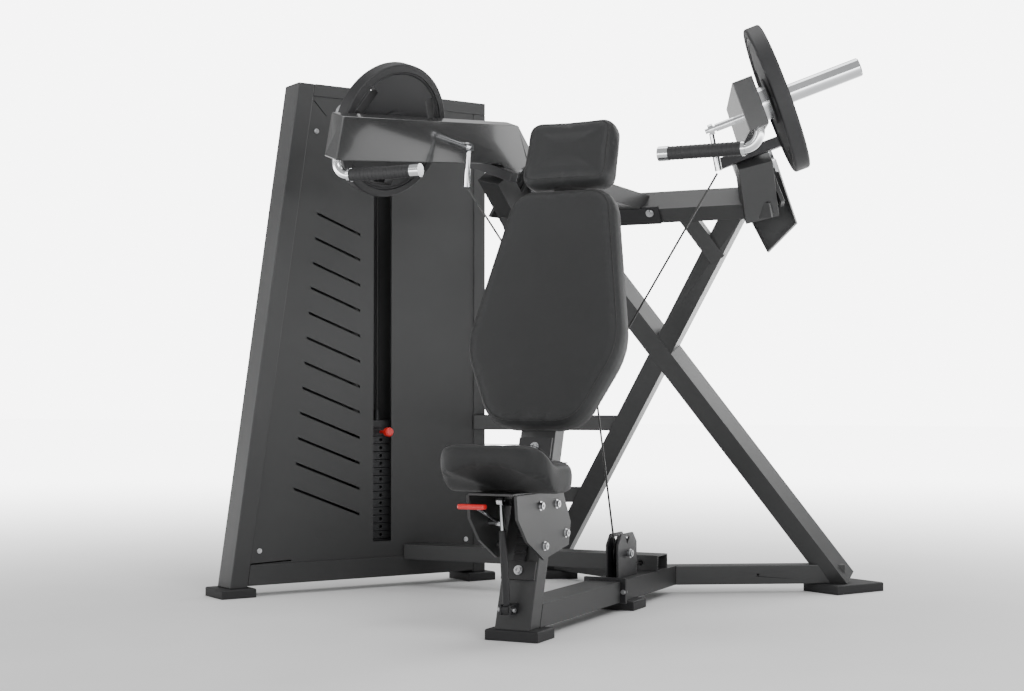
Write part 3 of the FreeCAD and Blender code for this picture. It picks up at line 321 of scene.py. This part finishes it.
# ---- back pads ------------------------------------------------------------------------
SEAM_INSET, SEAM_R = 0.0165, 0.0009
LEAN = math.radians(18.0)
FOOT = Vector((0.0, 0.095, 0.548))
UP = Vector((0.0, math.sin(LEAN), math.cos(LEAN)))
OUT = Vector((0.0, -math.cos(LEAN), math.sin(LEAN)))
BACK_T = 0.086
PAD_THICK, PAD_CROWN, PAD_CAP = 0.080, 0.008, 0.004      # a back pad's depth, its crown, its furthest swell


def back_place(u, v, w):
    """A point of the back pads: u across, v up them, w forwards from their backs."""
    return FOOT + Vector((u, 0, 0)) + UP * v - OUT * BACK_T + OUT * w


def make_pad(name, half, radius, node):
    """A back pad from half its outline, with its seam."""
    corners = [(-x, v) for x, v in reversed(half)] + half
    outline = rounded_outline(corners, radius, 120)
    pad = cushion(name, outline, back_place, PAD_THICK, PAD_CROWN)
    fill_with_cloth(pad, PAD_CAP)
    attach(pad, "frame")
    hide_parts(node)
    seam_h = PAD_THICK * 0.925 + PAD_CAP * 0.55
    seam = [back_place(p.x, p.y, seam_h) for p in inset(outline, SEAM_INSET)]
    bead = tube_along(name + "_seam", seam, SEAM_R, THREAD)
    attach(bead, "frame")


make_pad("backrest_cushion", [(0.130, 0.000), (0.238, 0.225), (0.150, 0.692)], 0.070, "backrest_pad")
make_pad("headrest_cushion", [(0.137, 0.700), (0.133, 0.901)], 0.045, "headrest_pad")


# ---- seat -----------------------------------------------------------------------------
def seat_place(u, v, w):
    """The seat's rear is level. Its front third rises and its edge rolls over, with an arched underside."""
    rise = max(0.0, (-0.045 - v) / 0.115)
    rise = rise * rise * (3 - 2 * rise) if rise < 1 else 1.0
    lift = 0.054 * rise
    arch = 0.022 * rise * max(0.0, 1 - (u / 0.10) ** 2) * max(0.0, 1 - w / 0.05)
    return Vector((u, v, 0.384 + w + lift + arch))


SEAT_THICK, SEAT_CROWN, SEAT_CAP = 0.074, 0.005, 0.004
SEAT_HALF, SEAT_FRONT, SEAT_REAR = 0.156, -0.160, 0.084
SEAT_SEAM_H = 0.0685 + 0.002
seat_outline = rounded_outline([(-SEAT_HALF, SEAT_REAR), (-SEAT_HALF, SEAT_FRONT),
                                (SEAT_HALF, SEAT_FRONT), (SEAT_HALF, SEAT_REAR)], 0.075, 120)
seat = cushion("seat_cushion", seat_outline, seat_place, SEAT_THICK, SEAT_CROWN)
fill_with_cloth(seat, SEAT_CAP)
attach(seat, "seat")
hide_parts("seat_pad")
seat_seam = [seat_place(p.x, p.y, SEAT_SEAM_H) for p in inset(seat_outline, SEAM_INSET)]
seat_bead = tube_along("seat_seam", seat_seam, SEAM_R, THREAD)
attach(seat_bead, "seat")

# ---- weight plates' hub discs and lips ------------------------------------------------
YAW, TILT = math.radians(17.0), math.radians(20.0)
H = Vector((math.cos(TILT) * math.cos(YAW), math.cos(TILT) * math.sin(YAW), math.sin(TILT)))
E1 = Vector((-math.sin(YAW), math.cos(YAW), 0.0))
E2 = H.cross(E1)
ORIGIN = Vector((0.560, 0.084, 1.401))
SLEEVE_S, SLEEVE_T = 0.288, -0.030
PLATE_OUTER, PLATE_INNER = 0.1323, 0.0903      # the disc plate's faces, as heights above the arm
GRIP_Y, GRIP_Z = 0.141, 1.245
GRIP_RINGS, RING_START, RING_STEP, RING_R = 15, 0.385, 0.0122, 0.0174


def on_arm(s, t, h, side=1):
    """A point of a press arm: s back along it, t up across it, h out of its inner face."""
    p = ORIGIN + E1 * s + E2 * t + H * h
    return Vector((p.x * side, p.y, p.z))


def lathe(name, profile, side, mat, body, turns=72):
    """A ring turned about the sleeve's axis. profile is (radius, h) pairs."""
    verts, faces = [], []
    for i in range(turns):
        a = 2 * math.pi * i / turns
        for r, h in profile:
            verts.append(on_arm(SLEEVE_S + r * math.cos(a), SLEEVE_T + r * math.sin(a), h, side))
    size = len(profile)
    for i in range(turns):
        j = (i + 1) % turns
        for k in range(size):
            m = (k + 1) % size
            faces.append((i * size + k, j * size + k, j * size + m, i * size + m))
    obj = link_mesh(name, verts, faces, mat)
    smooth = obj.modifiers.new("edges", "EDGE_SPLIT")
    smooth.split_angle = math.radians(35)
    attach(obj, body)
    return obj


for side, tag in ((1, "right"), (-1, "left")):
    for end, face, d in (("outer", PLATE_OUTER, 1), ("inner", PLATE_INNER, -1)):
        hub = [(0.0262, face - 0.004 * d), (0.0262, face + 0.0010 * d), (0.054, face + 0.0010 * d),
               (0.056, face - 0.001 * d), (0.056, face - 0.004 * d)]
        hub_mat = HUB if end == "outer" else BLACK
        lathe(tag + "_hub_" + end, hub, side, hub_mat, tag + "_plate")
        lip = [(0.168, face - 0.006 * d), (0.171, face - 0.0025 * d), (0.174, face - 0.0015 * d),
               (0.177, face - 0.0025 * d), (0.178, face - 0.006 * d)]
        lathe(tag + "_lip_" + end, lip, side, RUBBER, tag + "_plate")
    # Rings moulded round the hand grips.
    for i in range(GRIP_RINGS):
        x = (RING_START + i * RING_STEP) * side
        ring = []
        for k in range(28):
            a = 2 * math.pi * k / 28
            ring.append(Vector((x, GRIP_Y + RING_R * math.cos(a), GRIP_Z + RING_R * math.sin(a))))
        bead = tube_along(tag + "_grip_ring_%02d" % i, ring, 0.0011, RUBBER, sides=6)
        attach(bead, tag + "_arm")

# ---- floor, light ---------------------------------------------------------------------
floor_mat = material("floor", (0.80, 0.80, 0.80), (0.83, 0.83, 0.83), (0.55, 0.65), 0.0, 40, 0.0)
floor = link_mesh("floor", [(-30, -30, -0.0005), (30, -30, -0.0005), (30, 30, -0.0005), (-30, 30, -0.0005)],
                  [(0, 1, 2, 3)], floor_mat, smooth=False)

# Painted light: the floor glows, its white emission rising with distance from the machine, so it fades to a
# white studio sweep.
fn, fl = floor_mat.node_tree.nodes, floor_mat.node_tree.links
spot = fn.new("ShaderNodeTexCoord")
reach = fn.new("ShaderNodeVectorMath")
reach.operation = "LENGTH"
fl.new(spot.outputs["Object"], reach.inputs[0])
painted_floor_glow = fn.new("ShaderNodeMapRange")
painted_floor_glow.interpolation_type = "SMOOTHSTEP"
painted_floor_glow.inputs["From Min"].default_value = 1.2
painted_floor_glow.inputs["From Max"].default_value = 9.0
painted_floor_glow.inputs["To Min"].default_value = 0.0
painted_floor_glow.inputs["To Max"].default_value = 6.0
fl.new(reach.outputs["Value"], painted_floor_glow.inputs["Value"])
# Painted glow: white emission whose strength is set by the distance ramp above.
fn["Principled BSDF"].inputs["Emission Color"].default_value = (1, 1, 1, 1)
fl.new(painted_floor_glow.outputs["Result"], fn["Principled BSDF"].inputs["Emission Strength"])

world = bpy.data.worlds.new("studio")
bpy.context.scene.world = world
world.use_nodes = True
backdrop = world.node_tree.nodes["Background"]
backdrop.inputs["Color"].default_value = (1, 1, 1, 1)
# The backdrop is seen whiter than it lights, as an overexposed studio wall is.
seen = world.node_tree.nodes.new("ShaderNodeLightPath")
level = world.node_tree.nodes.new("ShaderNodeMapRange")
level.inputs["To Min"].default_value = 0.62
level.inputs["To Max"].default_value = 7.0
world.node_tree.links.new(seen.outputs["Is Camera Ray"], level.inputs["Value"])
world.node_tree.links.new(level.outputs["Result"], backdrop.inputs["Strength"])


def soft_light(name, place, aim, size, power):
    """An area light that faces a point."""
    data = bpy.data.lights.new(name, "AREA")
    data.shape = "RECTANGLE"
    data.size, data.size_y = size
    data.energy = power
    light = bpy.data.objects.new(name, data)
    light.location = place
    light.rotation_euler = (Vector(aim) - Vector(place)).to_track_quat("-Z", "Y").to_euler()
    bpy.context.scene.collection.objects.link(light)


soft_light("key", (3.6, -2.6, 4.2), (0, 0.5, 0.8), (2.4, 2.4), 150)
soft_light("fill", (-4.5, -3.5, 3.0), (-0.3, 0.4, 0.8), (3.0, 3.0), 70)
soft_light("top", (0.0, 1.2, 5.0), (0, 0.6, 0.6), (3.0, 3.0), 90)
soft_light("rim", (1.5, 5.0, 3.0), (0, 0.6, 1.0), (3.0, 2.0), 80)
